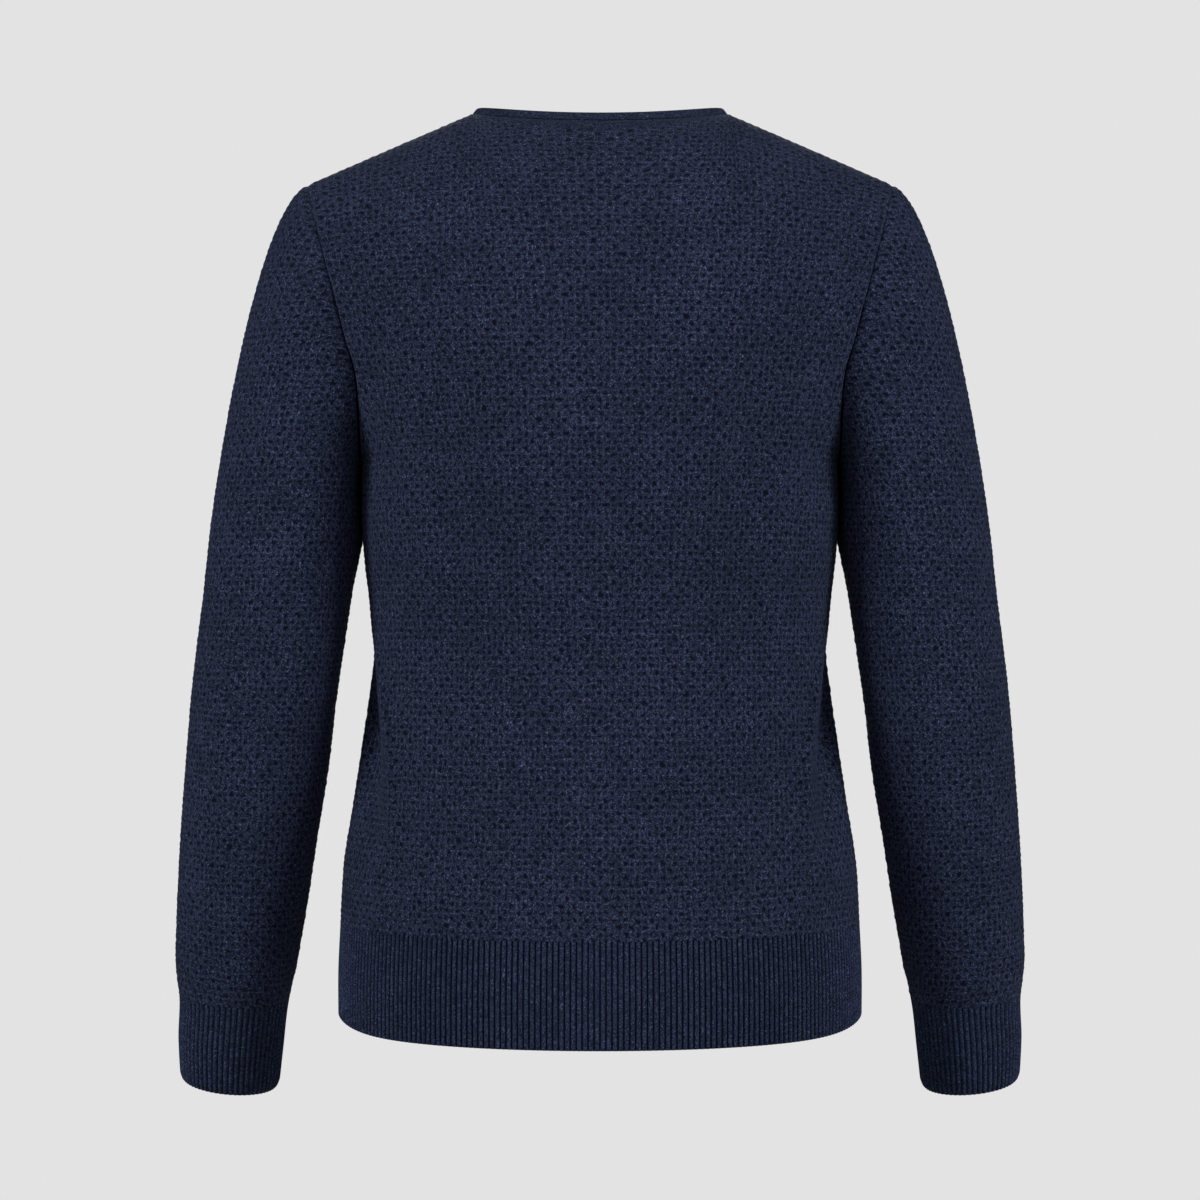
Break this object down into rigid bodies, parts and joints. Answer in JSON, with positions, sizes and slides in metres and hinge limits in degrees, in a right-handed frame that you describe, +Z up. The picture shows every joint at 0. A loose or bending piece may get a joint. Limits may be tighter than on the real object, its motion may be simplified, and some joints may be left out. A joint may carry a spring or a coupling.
{
  "type": "cardigan",
  "caption": "Fitted hip-length knitted cardigan with long sleeves, round neck, buttoned front and ribbed hem and cuffs, filled out as worn.",
  "frame": {"origin": "midway between the two neck points, where the wearer's shoulders carry the cardigan; the cardigan hangs below it", "axes": "+Z up, the front faces -Y, the wearer's left side is +X"},
  "size_m": [0.5658, 0.2507, 0.6527],
  "materials": {
    "moss_knit": "matt navy moss-stitch knit, cotton and wool yarn",
    "rib_knit": "matt navy single rib knit",
    "plain_knit": "matt navy plain knit",
    "button": "dark navy four-hole button with a soft shine"
  },
  "bodies": {
    "root": {"back": "moss_knit", "front_left": "moss_knit", "front_right": "moss_knit", "sleeve_left": "moss_knit", "sleeve_right": "moss_knit", "cuff_left": "rib_knit", "cuff_right": "rib_knit", "hem_back": "rib_knit", "hem_left": "rib_knit", "hem_right": "rib_knit", "neck_band": "plain_knit", "placket_left": "plain_knit", "placket_right": "plain_knit", "button_1": "button", "button_2": "button", "button_3": "button", "button_4": "button", "button_5": "button", "button_6": "button", "button_7": "button"}
  },
  "joints": []
}
